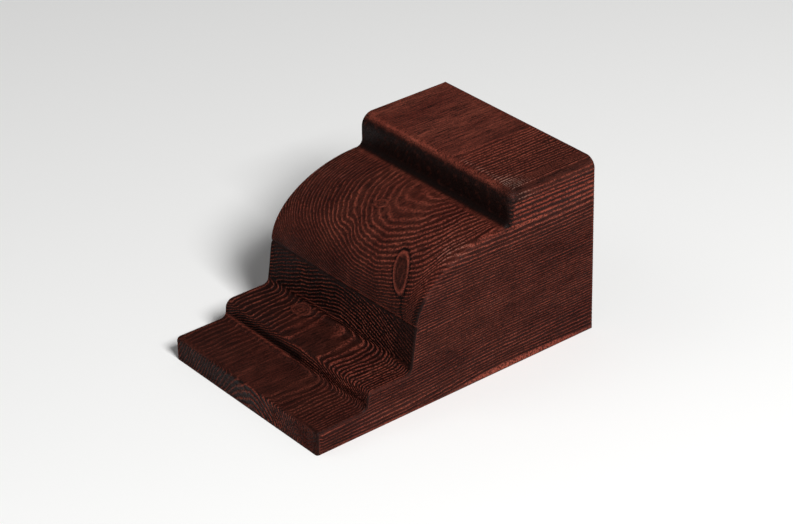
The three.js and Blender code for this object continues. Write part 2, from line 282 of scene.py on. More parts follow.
# Lower plank: x of its heart and its ring spacing up the steps, the nose and the band
LOWER_HEART = 4.0
STEP_SPACING, NOSE_SPACING, BAND_SPACING = 2.6, 6.0, 3.3

# Sides: the spacing of the lines at some levels, and the level and ring count where the count turns
SIDE_LEVELS = (17.0, 30.0, 103.0, 114.0, 122.0, 132.0, 144.0)
SIDE_SPACINGS = (3.0, 2.5, 2.5, 3.0, 3.6, 3.7, 3.9)
SIDE_HEART_LEVEL = 130.0
SIDE_START = 16.4

# The fold of the rings below the long knot, and the dark crease at its foot, as x at some runs
FOLD_RUNS, FOLD_PLACES = (160.0, 182.0, 214.0, 232.0), (79.6, 69.6, 45.8, 38.0)
CREASE_RUNS, CREASE_PLACES = (160.0, 170.0, 183.0), (79.6, 75.0, 69.0)


def wander(a, b, reach, seed):
    """A gentle smooth drift of about -1 to 1 over distances near the given reach.

    It is the sum of five waves, each longer than the last, with directions and starts from the seed.
    """
    turns = np.random.default_rng(seed).uniform(0.0, 2.0 * math.pi, (5, 2))
    total = 0.0
    for number, (direction, start) in enumerate(turns):
        rate = 2.0 * math.pi / (reach * (0.7 + 0.35 * number))
        total = total + np.sin(rate * (a * math.cos(direction) + b * math.sin(direction)) + start)
    return total / 2.6


def across_rings(x):
    """Rings of the upper plank counted sideways from its heart, closer towards the left side."""
    side = x - UPPER_HEART
    even = np.sqrt(side ** 2 + 60.0) - 7.7
    left = even / UPPER_LEFT_SPACING + np.clip(-40.0 - x, 0.0, None) ** 2 / 500.0
    return np.where(side > 0.0, even / UPPER_RIGHT_SPACING, left)


def round_rings(x, run):
    """Rings of the upper plank counted up the ovolo, which cuts them less and less steeply."""
    left_share = np.clip((UPPER_HEART - x) / 58.0, 0.0, 1.2)
    return (1.0 + 0.2 * left_share) * ARC_RINGS * np.exp(-(run - RUN_JOINT) / ARC_FADE)


def side_rings(y, level):
    """Rings where a side cuts both planks lengthwise: straight lines, closest in the lower plank.

    Towards the wall they climb 5 mm in the lower plank and drop 2 mm in the upper one.
    """
    settled = level - 5.0 * smooth(-205.0, -95.0, y) * smooth(78.0, 40.0, level)
    settled = settled + 2.0 * smooth(-160.0, -30.0, y) * smooth(80.0, 110.0, level)
    levels = np.arange(0.0, HEIGHT + 1.0)
    count = np.cumsum(1.0 / np.interp(levels, SIDE_LEVELS, SIDE_SPACINGS))
    up = np.interp(settled, levels, count) - np.interp(SIDE_HEART_LEVEL, levels, count)
    return SIDE_START + np.sqrt(up ** 2 + 0.04)


def arch(x):
    """Rings of the lower plank where a level face cuts them: wide in the middle, close at the sides."""
    side = x - LOWER_HEART
    left = 0.2 * (np.sqrt(side ** 2 + 40.0 ** 2) - 40.0)
    return np.where(side > 0.0, side ** 2 / 504.0, left)


def roof(x, level):
    """Rings of the lower plank where the band cuts them: a blunt arch that falls to both sides."""
    fall = 0.42 * (np.sqrt((x - LOWER_HEART) ** 2 + 20.0 ** 2) - 20.0)
    return (level - TREAD_LEVEL + fall) / BAND_SPACING


def knot_distance(a, b, knot):
    """0 at the heart of an oval knot and 1 on its rim."""
    centre, length, breadth, lean = knot
    along_knot = (a - centre[0]) * math.cos(lean) + (b - centre[1]) * math.sin(lean)
    aside = (b - centre[1]) * math.cos(lean) - (a - centre[0]) * math.sin(lean)
    return np.hypot(along_knot / length, aside / breadth)


def lower_rings(x, run, level):
    """The lower plank's rings over the nose, the lip, the riser, the tread and the band."""
    lip = arch(x) + (LIP_LEVEL - TREAD_LEVEL) / STEP_SPACING
    nose = lip + 0.7 * arch(x) + (level - LIP_LEVEL) / NOSE_SPACING
    riser = arch(x) + (level - TREAD_LEVEL) / STEP_SPACING
    rings = mix(nose, lip, smooth(RUN_NOSE - 2.0, RUN_NOSE + 3.0, run))
    rings = mix(rings, riser, smooth(RUN_RISER + 3.0, RUN_RISER + 8.0, run))
    rings = mix(rings, arch(x), smooth(RUN_TREAD - 9.0, RUN_TREAD - 3.0, run))
    return mix(rings, roof(x, level), smooth(RUN_BAND + 5.0, RUN_BAND + 11.0, run))


def upper_rings(x, run, y, level):
    """The upper plank's rings: arcs over the ovolo that open towards the block.

    They have a shoulder beside the small knot and a fold below the long one, and turn into the
    side's lines at the right edge.
    """
    outward = across_rings(x) * mix(1.0, 1.4, smooth(RUN_COVE + 4.0, RUN_BLOCK - 4.0, run))
    arcs = (np.abs(outward) ** ARC_POWER + round_rings(x, run) ** ARC_POWER) ** (1.0 / ARC_POWER)
    shoulder = spot(x, run, (-18.0, 208.0), 9.0, 18.0)
    fold_x = np.interp(run, FOLD_RUNS, FOLD_PLACES)
    fold = 0.55 * np.exp(-np.abs(x - fold_x) / 5.0) * smooth(236.0, 214.0, run)
    return mix(arcs + shoulder + fold, side_rings(y, level), smooth(76.0, 95.0, x))


def face_drift(x, run, y):
    """Unevenness of the face's rings, in rings: round on the ovolo and lengthwise on the block."""
    drift = 0.26 * wander(x * 1.3, run, 42.0, 3) + 0.1 * wander(x * 1.5, run, 13.0, 4)
    block_drift = 0.34 * wander(x, y * 0.1, 30.0, 5) + 0.12 * wander(x, y * 0.25, 9.0, 6)
    drift = mix(drift, block_drift, smooth(RUN_COVE - 20.0, RUN_COVE + 10.0, run))
    return drift * smooth(HALF_WIDTH, 82.0, x)


def side_drift(y, level, seed):
    """Unevenness of a side's rings, in rings, drawn out lengthwise."""
    return 0.4 * wander(y * 0.12, level, 34.0, seed) + 0.16 * wander(y * 0.16, level, 11.0, seed + 1)


def face_rings(x, run, y, level):
    """Ring count over the moulded face, with the knots' own rings inside their rims."""
    rings = np.where(run > RUN_JOINT, upper_rings(x, run, y, level), lower_rings(x, run, level))
    rings = rings + face_drift(x, run, y)
    for knot, turns in ((OVOLO_KNOT, 1.9), (TREAD_KNOT, 2.6), (SMALL_KNOT, 2.0)):
        inside = knot_distance(x, run, knot)
        rings = np.where(inside < 1.0, inside * turns, rings)
    return rings


# Relief, marks, stain with painted shade, and painted glints


def ridge_spacing(rings, surface):
    """Distance from one ring to the next over the skin, in mm."""
    span = [np.linalg.norm(np.gradient(surface, axis=axis), axis=2).clip(1e-3) for axis in (0, 1)]
    slope = np.hypot(*(np.gradient(rings, axis=axis) / span[axis] for axis in (0, 1)))
    return 1.0 / slope.clip(1e-3)


def over_worn_edge(run):
    """How far the rings run on over the worn right edge: not at the joint, and fully up the ovolo."""
    return smooth(RUN_JOINT + 10.0, RUN_JOINT + 50.0, run)


def face_relief(x, run, rings, surface):
    """How deep the rings stand: full on the open faces, faint where they crowd and at worn edges."""
    relief = smooth(0.9, 1.9, ridge_spacing(rings, surface)) * smooth(0.0, 1.4, HALF_WIDTH + x)
    relief = relief * mix(smooth(0.0, 2.2, HALF_WIDTH - x), 1.0, over_worn_edge(run))
    relief = relief * smooth(0.0, 1.6, run) * smooth(0.0, 1.6, RUN_END - run)
    lip = zone(run, RUN_NOSE + 1.0, RUN_RISER + 4.0, 3.0)
    for fainter in (
        # The lip, most of all in its middle
        lip * (0.45 + 0.45 * spot(x, run, (-8.0, RUN_NOSE + 22.0), 52.0, 60.0)),
        # The tread's middle, the band's right end and the ovolo's left foot
        0.85 * spot(x, run, (2.0, RUN_TREAD + 18.0), 40.0, 20.0),
        0.6 * smooth(58.0, 82.0, x) * zone(run, RUN_BAND + 8.0, RUN_JOINT, 2.0),
        0.6 * spot(x, run, (-76.0, RUN_JOINT + 14.0), 18.0, 14.0),
        # The riser left of its middle, and a little over the whole ovolo
        0.7 * zone(run, RUN_RISER + 8.0, RUN_RISER + 13.0, 3.0) * zone(x, -40.0, 6.0, 20.0),
        0.22 * zone(run, RUN_JOINT, RUN_COVE, 8.0),
        # The block's front, its right corner and its top, the last most of all on the left
        0.93 * zone(run, RUN_COVE - 1.0, RUN_BLOCK - 6.0, 4.0) * smooth(95.0, 93.0, x),
        0.8 * spot(x, run, (90.0, RUN_BLOCK - 6.0), 7.0, 10.0),
        0.3 * zone(run, RUN_BLOCK - 4.0, RUN_END, 8.0),
        0.75 * zone(run, RUN_BLOCK - 6.0, RUN_END, 8.0) * smooth(42.0, -10.0, x),
        # The ovolo's crown and the joint line
        0.55 * spot(x, run, (6.0, 256.0), 32.0, 30.0),
        0.8 * soft_line(run, RUN_JOINT, 1.2),
    ):
        relief = relief * (1.0 - fainter)
    for knot, share in ((OVOLO_KNOT, 0.3), (TREAD_KNOT, 0.4), (SMALL_KNOT, 0.5)):
        distance = knot_distance(x, run, knot)
        relief = relief * np.where(distance < 1.0, share, 1.0)
        relief = relief * (1.0 - 0.9 * smooth(1.6, 0.4, np.abs(distance - 1.0) * knot.breadth))
    return relief


def face_marks(x, run):
    """Fine marks beside the rings: knot rims, the joint and worn corners stand up, creases sink."""
    marks = np.zeros_like(x)
    for knot, strength in ((OVOLO_KNOT, 0.9), (TREAD_KNOT, 0.45), (SMALL_KNOT, 0.4), (NOSE_KNOT, 0.7)):
        away = (knot_distance(x, run, knot) - 1.0) * knot.breadth
        marks += strength * (soft_line(away, 0.0, 0.6) - 0.8 * soft_line(away, 1.4, 0.7))
    crease_x = np.interp(run, CREASE_RUNS, CREASE_PLACES) + 0.8 * np.sin(run / 2.3)
    marks -= 0.9 * soft_line(x, crease_x, 1.1) * zone(run, RUN_JOINT, 180.0, 2.0)
    # Partly painted highlight: the lighter raised line just above the joint, where the upper plank's arris
    # catches light
    marks += 0.8 * soft_line(run, RUN_JOINT + 2.0, 0.7) * smooth(-75.0, 10.0, x)
    marks += 1.0 * soft_line(run, RUN_RISER + 6.0, 0.8) * zone(x, -94.0, -14.0, 14.0)
    marks += 1.0 * soft_line(run, RUN_BAND + 10.0, 0.8) * zone(x, -58.0, -2.0, 12.0)
    # Partly painted highlight: the lighter raised line along the block's front top edge
    marks += 0.5 * soft_line(run, RUN_BLOCK - 6.0, 1.0) * zone(x, -78.0, -8.0, 10.0)
    marks -= 0.6 * soft_line(run, RUN_COVE + 5.0, 1.0)

    # Short flecks on the block's front, and scuffs on the ovolo's right edge that also carry painted glints
    flecks = smooth(0.55, 1.1, wander(x, run, 7.0, 31) + 0.6 * wander(x, run, 2.6, 32))
    marks += 0.24 * flecks * zone(run, RUN_COVE + 6.0, RUN_BLOCK - 10.0, 2.0)
    scuffs_and_glints = smooth(-0.5, 0.7, wander(x, run, 3.4, 41))
    marks += 0.4 * scuffs_and_glints * spot(x, run, (89.0, 236.0), 7.0, 15.0)
    return np.clip(marks, -1.0, 1.0)


def face_stain_and_shade(x, run):
    """Dark stain and painted shade: on the band and the block's front, in corners, and over the steps."""
    # From the nose up: nose, lip, riser, tread, band, ovolo's foot, ovolo, block's top and front,
    # each with its start, end, strength and fade
    bands = (
        (0.0, RUN_NOSE - 2.0, 0.6, 3.0),
        (RUN_NOSE, RUN_RISER + 4.0, 0.7, 4.0),
        (RUN_RISER + 7.0, RUN_TREAD - 7.0, 0.7, 2.0),
        (RUN_TREAD - 4.0, RUN_BAND + 6.0, 0.62, 4.0),
        (RUN_BAND + 9.0, RUN_JOINT, 0.92, 3.0),
        (RUN_JOINT, RUN_JOINT + 10.0, 0.55, 44.0),
        (RUN_JOINT, RUN_COVE, 0.28, 6.0),
        (RUN_BLOCK, RUN_END, 0.14, 6.0),
        (RUN_COVE + 3.0, RUN_BLOCK - 12.0, 0.97, 5.0),
    )
    from_right, from_left = HALF_WIDTH - x, HALF_WIDTH + x
    gathered = [strength * zone(run, start, end, fade) for start, end, strength, fade in bands]
    gathered += [
        # Along the riser's foot, and darkest left of its middle
        0.75 * soft_line(run, RUN_RISER + 9.0, 3.0),
        0.97 * zone(run, RUN_RISER + 8.0, RUN_RISER + 13.0, 4.0) * zone(x, -72.0, 6.0, 16.0),
        # The right ends of the band, the nose and the riser, and the left end of all below the block
        0.95 * smooth(10.0, 3.0, from_right) * zone(run, RUN_BAND + 6.0, RUN_JOINT + 22.0, 14.0),
        0.9 * smooth(8.0, 4.0, from_right) * smooth(RUN_NOSE + 6.0, RUN_NOSE + 1.0, run),
        0.9 * smooth(14.0, 3.0, from_right) * zone(run, RUN_RISER + 4.0, RUN_TREAD - 8.0, 4.0),
        0.55 * smooth(14.0, 2.0, from_left) * zone(run, 0.0, RUN_BLOCK - 10.0, 8.0),
        # The block's right corner, and its top towards the right
        0.8 * smooth(34.0, 4.0, from_right) * zone(run, RUN_BLOCK - 12.0, RUN_BLOCK + 2.0, 12.0),
        0.45 * smooth(10.0, 60.0, x) * zone(run, RUN_BLOCK, RUN_END, 8.0),
        # The tread's middle, and round the long knot
        0.84 * spot(x, run, (4.0, RUN_TREAD + 17.0), 40.0, 18.0),
        0.5 * spot(x, run, (66.0, 188.0), 22.0, 32.0),
    ]
    for knot, strength in ((OVOLO_KNOT, 0.75), (TREAD_KNOT, 0.6), (SMALL_KNOT, 0.5)):
        gathered.append(strength * smooth(1.1, 0.8, knot_distance(x, run, knot)))
    return np.clip(np.maximum.reduce(gathered), 0.0, 1.0)


def face_painted_glints(x, run):
    """Where painted pale glints go on the crests: the block's corner and front edge, and the ovolo's right
    edge.
    """
    corner = spot(x, run, (84.0, RUN_BLOCK + 2.0), 16.0, 16.0)
    front_edge = 0.5 * spot(x, run, (30.0, RUN_BLOCK - 2.0), 60.0, 6.0)
    ovolo_edge = 0.5 * spot(x, run, (86.0, 236.0), 14.0, 18.0)
    return corner + front_edge + ovolo_edge


def side_values(down, face_edge, edge_run, side):
    """Ring count, relief, and stain with painted shade on one side's grid; no marks, no painted glints."""
    y, level = down[..., 1], down[..., 2]
    depth_in = np.linalg.norm(down - face_edge[:, None], axis=2)
    drift = side_drift(y, level, 11 if side > 0 else 23)
    rings = side_rings(y, level) + drift * smooth(0.0, 6.0, depth_in)
    worn = over_worn_edge(edge_run) if side > 0 else 0.0 * edge_run
    relief = mix(smooth(0.0, 2.2, depth_in), 1.0, worn) * smooth(0.0, 1.6, level)
    relief = relief * mix(0.4, 1.0, smooth(0.0, 1.6, -y)) * smooth(0.0, 1.4, y + LENGTH)
    stain_and_shade = 0.5 * smooth(2.5, 0.0, depth_in) * (1.0 - worn)
    stain_and_shade = np.maximum(stain_and_shade, 0.85 * smooth(4.5, 1.0, y + LENGTH))
    none = np.zeros_like(y)
    return np.stack([rings, relief, none, stain_and_shade, none], axis=2)


# Mesh


def cut_face(face, run, marks):
    """The moulded face with the joint line and the fine marks cut inwards."""
    inner = smooth(0.0, 2.0, HALF_WIDTH - np.abs(face[..., 0]))
    sink = soft_line(run, RUN_JOINT, JOINT_WIDTH / 2.0) * JOINT_DEPTH
    sink = sink + MARK_DEPTH * (1.0 - marks) * inner * zone(run, 4.0, RUN_END - 4.0, 3.0)
    outward = np.zeros_like(face)
    outward[..., 1] = facing_y[:, None]
    outward[..., 2] = facing_up[:, None]
    return face - sink[..., None] * outward


def grid_cells(grid):
    """The four-cornered faces of a grid of point numbers."""
    return np.stack([grid[:-1, :-1], grid[:-1, 1:], grid[1:, 1:], grid[1:, :-1]], axis=2).reshape(-1, 4)


def build_skin():
    """One closed skin of the corbel, with the values that SKIN_VALUES names on its points.

    Gives the points, their values, the four-cornered faces of the moulded face and the sides, and
    the outlines of the two plain faces, the one below and the one at the wall.
    """
    face, run = moulded_face()
    rows, columns = run.shape
    x, y, level = face[..., 0], face[..., 1], face[..., 2]
    rings = face_rings(x, run, y, level)
    relief = face_relief(x, run, rings, face)
    marks = face_marks(x, run)
    face_values = np.stack([rings, relief, marks, face_stain_and_shade(x, run), face_painted_glints(x, run)], axis=2)
    face = cut_face(face, run, marks)

    point_grids, value_grids = [face], [face_values]
    grid = np.arange(rows * columns).reshape(rows, columns)
    quads = [grid_cells(grid)]
    start = rows * columns
    side_grids = {}
    for side, column in ((-1, 0), (1, columns - 1)):
        face_edge = face[:, column]
        down = side_face(face_edge)
        count = down.shape[1]
        point_grids.append(down)
        value_grids.append(side_values(down, face_edge, run[:, column][:, None], side))
        down_grid = start + np.arange(rows * count).reshape(rows, count)
        side_grids[side] = np.hstack([grid[:, column][:, None], down_grid])
        cells = grid_cells(side_grids[side])
        quads.append(cells[:, ::-1] if side < 0 else cells)
        start += rows * count

    right, left = side_grids[1], side_grids[-1]
    below = np.concatenate([grid[0], right[1:, -1], left[1:, -1][::-1]])
    wall = np.concatenate([grid[-1][::-1], left[-1, 1:], right[-1, 1:][::-1]])
    points = np.vstack([part.reshape(-1, 3) for part in point_grids])
    values = np.vstack([part.reshape(-1, len(SKIN_VALUES)) for part in value_grids])
    return points, values, np.vstack(quads), (below, wall)


def make_mesh(name):
    """The skin as a mesh with its origin at the centre of the wall face, the plain faces shaded flat."""
    points, values, quads, outlines = build_skin()
    points = (points + np.array([0.0, 0.0, -HEIGHT / 2.0])) * MM
    mesh = bpy.data.meshes.new(name)
    mesh.from_pydata(points.tolist(), [], quads.tolist())
    for index, title in enumerate(SKIN_VALUES):
        attribute = mesh.attributes.new(title, "FLOAT", "POINT")
        attribute.data.foreach_set("value", values[:, index].astype(np.float32))

    body = bmesh.new()
    body.from_mesh(mesh)
    body.verts.ensure_lookup_table()
    plain = body.faces.layers.bool.new("plain_face")
    for outline in outlines:
        flat = body.faces.new([body.verts[int(index)] for index in dict.fromkeys(outline.tolist())])
        flat[plain] = True
    bmesh.ops.remove_doubles(body, verts=body.verts, dist=WELD_DISTANCE)
    bmesh.ops.dissolve_degenerate(body, edges=body.edges, dist=WELD_DISTANCE)
    bmesh.ops.recalc_face_normals(body, faces=body.faces)
    bmesh.ops.triangulate(body, faces=[face for face in body.faces if face[plain]])
    body.to_mesh(mesh)
    body.free()
    flat_faces = np.empty(len(mesh.polygons), dtype=bool)
    mesh.attributes["plain_face"].data.foreach_get("value", flat_faces)
    mesh.polygons.foreach_set("use_smooth", ~flat_faces)
    return mesh


# Node trees


def linear(colour):
    """An sRGB hex colour as linear RGBA."""
    parts = [int(colour[i:i + 2], 16) / 255.0 for i in (1, 3, 5)]
    return [p / 12.92 if p <= 0.04045 else ((p + 0.055) / 1.055) ** 2.4 for p in parts] + [1.0]


def add(tree, kind, inputs=None, **settings):
    """Adds a node with its settings; each input is a value to set or a socket to link."""
    node = tree.nodes.new(kind)
    for name, value in settings.items():
        setattr(node, name, value)
    for key, value in (inputs or {}).items():
        if isinstance(value, bpy.types.NodeSocket):
            tree.links.new(value, node.inputs[key])
        else:
            node.inputs[key].default_value = value
    return node


def brushed_grain_tree():
    """Geometry nodes that cut the growth rings and brush fibres into the skin."""
    tree = bpy.data.node_groups.new("brushed_grain", "GeometryNodeTree")
    tree.is_modifier = True
    for title, kind in (
        ("Skin", "NodeSocketGeometry"),
        ("Ring depth", "NodeSocketFloat"), ("Ring sharpness", "NodeSocketFloat"),
        ("Fibre depth", "NodeSocketFloat"), ("Fibre width", "NodeSocketFloat"), ("Seed", "NodeSocketFloat"),
        ("Grain finish", "NodeSocketMaterial"), ("Plain finish", "NodeSocketMaterial"),
    ):
        tree.interface.new_socket(title, in_out="INPUT", socket_type=kind)
    tree.interface.new_socket("Skin", in_out="OUTPUT", socket_type="NodeSocketGeometry")
    given = tree.nodes.new("NodeGroupInput").outputs

    ring, relief = (
        add(tree, "GeometryNodeInputNamedAttribute", {"Name": title}, data_type="FLOAT").outputs["Attribute"]
        for title in ("ring", "relief"))
    place = add(tree, "GeometryNodeInputPosition").outputs[0]

    # Small uneven steps in the rings, each about 8 mm long
    uneven = add(tree, "ShaderNodeTexNoise",
                 {"Vector": place, "W": given["Seed"], "Scale": 130.0, "Detail": 2.0},
                 noise_dimensions="4D").outputs[0]
    shaken = add(tree, "ShaderNodeMath", {0: uneven, 1: 0.34, 2: ring}, operation="MULTIPLY_ADD").outputs[0]
    angle = add(tree, "ShaderNodeMath", {0: shaken, 1: 2.0 * math.pi}, operation="MULTIPLY").outputs[0]
    wave = add(tree, "ShaderNodeMath", {0: angle}, operation="COSINE").outputs[0]
    crest = add(tree, "ShaderNodeMath", {0: wave, 1: 0.5, 2: 0.5}, operation="MULTIPLY_ADD").outputs[0]
    ridge = add(tree, "ShaderNodeMath", {0: crest, 1: given["Ring sharpness"]}, operation="POWER").outputs[0]
    sunk = add(tree, "ShaderNodeMath", {0: ridge, 1: 1.0}, operation="SUBTRACT").outputs[0]

    # Some rings are deeper than others, in patches of about 26 mm
    patch = add(tree, "ShaderNodeTexNoise",
                {"Vector": place, "W": given["Seed"], "Scale": 38.0, "Detail": 1.0},
                noise_dimensions="4D").outputs[0]
    share = add(tree, "ShaderNodeMapRange", {0: patch, 1: 0.3, 2: 0.7, 3: 0.45, 4: 1.0}).outputs[0]
    depth = add(tree, "ShaderNodeMath", {0: given["Ring depth"], 1: share}, operation="MULTIPLY").outputs[0]
    depth = add(tree, "ShaderNodeMath", {0: depth, 1: relief}, operation="MULTIPLY").outputs[0]
    ring_height = add(tree, "ShaderNodeMath", {0: sunk, 1: depth}, operation="MULTIPLY").outputs[0]

    # Brushed fibres run with the timber
    rate = add(tree, "ShaderNodeMath", {0: 1.0, 1: given["Fibre width"]}, operation="DIVIDE").outputs[0]
    stretched = add(tree, "ShaderNodeVectorMath", {0: place, 1: (1.0, 0.06, 1.0)},
                    operation="MULTIPLY").outputs[0]
    fibre = add(tree, "ShaderNodeTexNoise",
                {"Vector": stretched, "W": given["Seed"], "Scale": rate, "Detail": 1.0},
                noise_dimensions="4D").outputs[0]
    fibre = add(tree, "ShaderNodeMapRange", {0: fibre, 1: 0.35, 2: 0.65, 3: -1.0, 4: 0.0}).outputs[0]
    fibre = add(tree, "ShaderNodeMath", {0: fibre, 1: given["Fibre depth"]}, operation="MULTIPLY").outputs[0]
    height = add(tree, "ShaderNodeMath", {0: fibre, 1: relief, 2: ring_height},
                 operation="MULTIPLY_ADD").outputs[0]

    outward = add(tree, "GeometryNodeInputNormal").outputs[0]
    offset = add(tree, "ShaderNodeVectorMath", {0: outward, "Scale": height}, operation="SCALE").outputs[0]
    skin = add(tree, "GeometryNodeStoreNamedAttribute",
               {"Geometry": given["Skin"], "Name": "ring", "Value": shaken}, data_type="FLOAT").outputs[0]
    skin = add(tree, "GeometryNodeSetPosition", {"Geometry": skin, "Offset": offset}).outputs[0]
    skin = add(tree, "GeometryNodeRealizeInstances", {"Geometry": skin}).outputs[0]
    skin = add(tree, "GeometryNodeSetMaterial",
               {"Geometry": skin, "Material": given["Grain finish"]}).outputs[0]
    flat = add(tree, "GeometryNodeInputNamedAttribute", {"Name": "plain_face"}, data_type="BOOLEAN")
    skin = add(tree, "GeometryNodeSetMaterial", {
        "Geometry": skin, "Selection": flat.outputs["Attribute"], "Material": given["Plain finish"],
    }).outputs[0]
    add(tree, "NodeGroupOutput", {"Skin": skin})
    return tree


# Finishes


def new_material(name):
    material = bpy.data.materials.new(name)
    material.use_nodes = True
    tree = material.node_tree
    tree.nodes.clear()
    surface = add(tree, "ShaderNodeBsdfPrincipled")
    add(tree, "ShaderNodeOutputMaterial", {"Surface": surface.outputs[0]})
    return material, tree, surface


def stained_grain():
    """Cast polyurethane foam, stained mahogany and wiped.

    The colour stays nearly black in the grooves and the corners, as stain with painted shade, and rubs
    off to red-brown along the crests, which break up into fine beads. At the block's corner and on the
    ovolo's right edge the crests carry painted pale highlights, and the dry satin coat leaves only small
    glints.
    """
    material, tree, surface = new_material("stained_cast_polyurethane")
    ring, relief, mark, stain_and_shade, painted_glint = (
        add(tree, "ShaderNodeAttribute", attribute_name=title).outputs["Fac"] for title in SKIN_VALUES)
    place = add(tree, "ShaderNodeTexCoord").outputs["Object"]

    # Beads of 1.6 mm along the crests, fibres of 1 mm by 15 mm, grit of 0.9 mm, and clouds of stain
    # of 20 mm by 95 mm
    beads = add(tree, "ShaderNodeTexNoise", {"Vector": place, "Scale": 620.0, "Detail": 1.0}).outputs[0]
    beads = add(tree, "ShaderNodeMapRange", {0: beads, 1: 0.36, 2: 0.62, 3: 0.2, 4: 1.3}).outputs[0]
    along_grain = add(tree, "ShaderNodeMapping", {"Vector": place, "Scale": (1.0, 0.07, 1.0)}).outputs[0]
    fibre = add(tree, "ShaderNodeTexNoise", {"Vector": along_grain, "Scale": 950.0, "Detail": 2.0}).outputs[0]
    grit = add(tree, "ShaderNodeTexNoise", {"Vector": place, "Scale": 1100.0, "Detail": 1.0}).outputs[0]
    streak = add(tree, "ShaderNodeMapping", {"Vector": place, "Scale": (1.0, 0.22, 1.0)}).outputs[0]
    cloud = add(tree, "ShaderNodeTexNoise", {"Vector": streak, "Scale": 48.0, "Detail": 3.0}).outputs[0]

    # Rubbed share: the crests where there are rings, and the open grain elsewhere
    angle = add(tree, "ShaderNodeMath", {0: ring, 1: 2.0 * math.pi}, operation="MULTIPLY").outputs[0]
    wave = add(tree, "ShaderNodeMath", {0: angle}, operation="COSINE").outputs[0]
    crest = add(tree, "ShaderNodeMath", {0: wave, 1: 0.5, 2: 0.5}, operation="MULTIPLY_ADD").outputs[0]
    ridge = add(tree, "ShaderNodeMath", {0: crest, 1: 2.7}, operation="POWER").outputs[0]
    crest = add(tree, "ShaderNodeMath", {0: ridge, 1: beads}, operation="MULTIPLY").outputs[0]
    open_grain = add(tree, "ShaderNodeMapRange", {0: fibre, 1: 0.34, 2: 0.66, 3: 0.02, 4: 0.5}).outputs[0]
    speck = add(tree, "ShaderNodeMapRange", {0: grit, 1: 0.45, 2: 0.68, 3: 0.0, 4: 0.4}).outputs[0]
    open_grain = add(tree, "ShaderNodeMath", {0: open_grain, 1: speck}, operation="ADD").outputs[0]
    rubbed = add(tree, "ShaderNodeMix", {0: relief, 2: open_grain, 3: crest}).outputs[0]
    shade = add(tree, "ShaderNodeMath", {0: open_grain, 1: 0.15, 2: rubbed},
                operation="MULTIPLY_ADD").outputs[0]
    shade = add(tree, "ShaderNodeMath", {0: mark, 1: 0.55, 2: shade}, operation="MULTIPLY_ADD",
                use_clamp=True).outputs[0]

    # Stain from the dark ground, which also paints the shade in the grooves, to the rubbed crests
    ground = add(tree, "ShaderNodeMapRange", {0: cloud, 1: 0.3, 2: 0.7, 3: 0.0, 4: 1.0}).outputs[0]
    dark = add(tree, "ShaderNodeMix", {0: ground, 6: linear("#0f0504"), 7: linear("#1a0a08")},
               data_type="RGBA").outputs[2]
    light = add(tree, "ShaderNodeMix", {0: ground, 6: linear("#743328"), 7: linear("#904838")},
                data_type="RGBA").outputs[2]
    worn = add(tree, "ShaderNodeMix", {0: shade, 6: dark, 7: light}, data_type="RGBA").outputs[2]

    # Pools of dark stain and painted shade, thinner over what stands proud
    raised = add(tree, "ShaderNodeMath", {0: crest, 1: relief}, operation="MULTIPLY").outputs[0]
    proud = add(tree, "ShaderNodeMath", {0: mark, 1: 1.1, 2: raised}, operation="MULTIPLY_ADD",
                use_clamp=True).outputs[0]
    held = add(tree, "ShaderNodeMath", {0: proud, 1: -0.5, 2: 1.0}, operation="MULTIPLY_ADD").outputs[0]
    stain_shade_share = add(tree, "ShaderNodeMath", {0: stain_and_shade, 1: held}, operation="MULTIPLY", use_clamp=True).outputs[0]
    stain_shaded = add(tree, "ShaderNodeMix", {0: stain_shade_share, 6: worn, 7: linear("#0d0605")},
                 data_type="RGBA").outputs[2]

    # Painted highlights: pale glints on the crests, put into the base colour
    glint_on_crests = add(tree, "ShaderNodeMath", {0: painted_glint, 1: raised}, operation="MULTIPLY").outputs[0]
    glint_share = add(tree, "ShaderNodeMapRange", {0: glint_on_crests, 1: 0.12, 2: 0.8, 3: 0.0, 4: 0.75}).outputs[0]
    # Painted highlight colour: pale grey-brown glints mixed over the stain
    scuffs_and_glints = add(tree, "ShaderNodeMix", {0: glint_share, 6: stain_shaded, 7: linear("#8f7468")},
                  data_type="RGBA").outputs[2]
    tree.links.new(scuffs_and_glints, surface.inputs["Base Color"])

    rough = add(tree, "ShaderNodeMapRange", {0: grit, 1: 0.35, 2: 0.65, 3: 0.34, 4: 0.6}).outputs[0]
    tree.links.new(rough, surface.inputs["Roughness"])
    surface.inputs["IOR"].default_value = 1.5
    surface.inputs["Specular IOR Level"].default_value = 0.06

    texture = add(tree, "ShaderNodeMath", {0: grit, 1: 0.6, 2: fibre}, operation="MULTIPLY_ADD").outputs[0]
    height = add(tree, "ShaderNodeMath", {0: texture, 1: 0.8, 2: raised}, operation="MULTIPLY_ADD").outputs[0]
    bump = add(tree, "ShaderNodeBump", {"Height": height, "Distance": 0.0008, "Strength": 1.0}).outputs[0]
    tree.links.new(bump, surface.inputs["Normal"])
    return material


